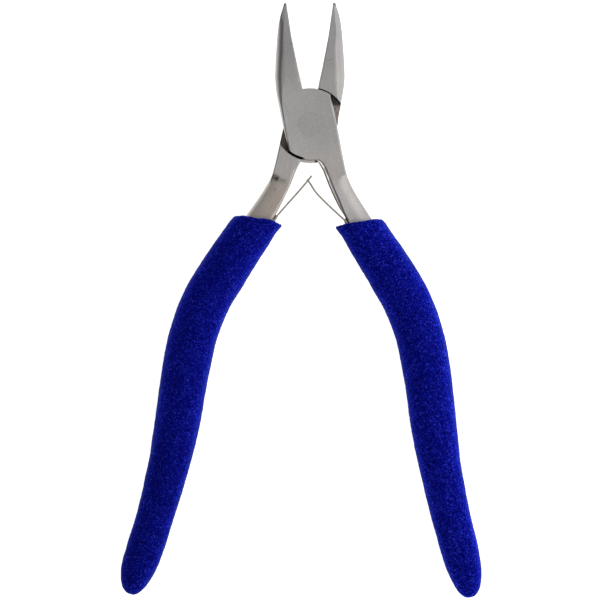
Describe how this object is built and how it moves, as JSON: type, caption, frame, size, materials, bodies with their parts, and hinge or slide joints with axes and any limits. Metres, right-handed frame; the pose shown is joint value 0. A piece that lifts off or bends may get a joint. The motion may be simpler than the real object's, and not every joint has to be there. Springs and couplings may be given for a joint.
{
  "type": "round nose pliers",
  "caption": "Lap joint jewellery pliers with tapered jaws, crossed leaf return springs and long curved foam sleeve grips.",
  "frame": {"origin": "on the pivot axis, in the plane of the ground back face of the lap joint", "axes": "+Z along the pivot axis from the back face to the front face, +Y towards the jaw tips along the middle line, +X to the right as seen from the front"},
  "size_m": [0.0968, 0.1594, 0.0128],
  "materials": {
    "steel": "satin ground faces with fine grinding lines along the tool",
    "spring_steel": "rolled strip, slightly tinted",
    "rivet_steel": "satin",
    "foam": "soft deep blue foam with a fuzzy, matt skin"
  },
  "bodies": {
    "front_half": {"front_half": "steel", "pivot_rivet": "rivet_steel", "front_spring_rivet": "rivet_steel", "front_grip": "foam"},
    "back_half": {"back_half": "steel", "back_spring_rivet": "rivet_steel", "back_grip": "foam"},
    "front_spring": {"front_spring_leaf": "spring_steel"},
    "back_spring": {"back_spring_leaf": "spring_steel"}
  },
  "joints": [
    {"name": "pivot", "type": "hinge", "parent": "front_half", "child": "back_half", "pos_m": [0, 0, 0.004], "axis": [0, 0, 1], "range_deg": [-5, 21.6], "stiffness_Nm_per_rad": 2},
    {"name": "front_spring_flex", "type": "hinge", "parent": "front_half", "child": "front_spring", "pos_m": [0.00944, -0.02585, 0.004], "axis": [0, 0, 1], "range_deg": [-13.5, 3.2]},
    {"name": "back_spring_flex", "type": "hinge", "parent": "back_half", "child": "back_spring", "pos_m": [-0.00934, -0.02493, 0.004], "axis": [0, 0, 1], "range_deg": [-3.2, 13.5]}
  ],
  "couplings": [
    {"joint": "front_spring_flex", "follows": "pivot", "ratio": -0.62},
    {"joint": "back_spring_flex", "follows": "pivot", "ratio": 0.62}
  ]
}
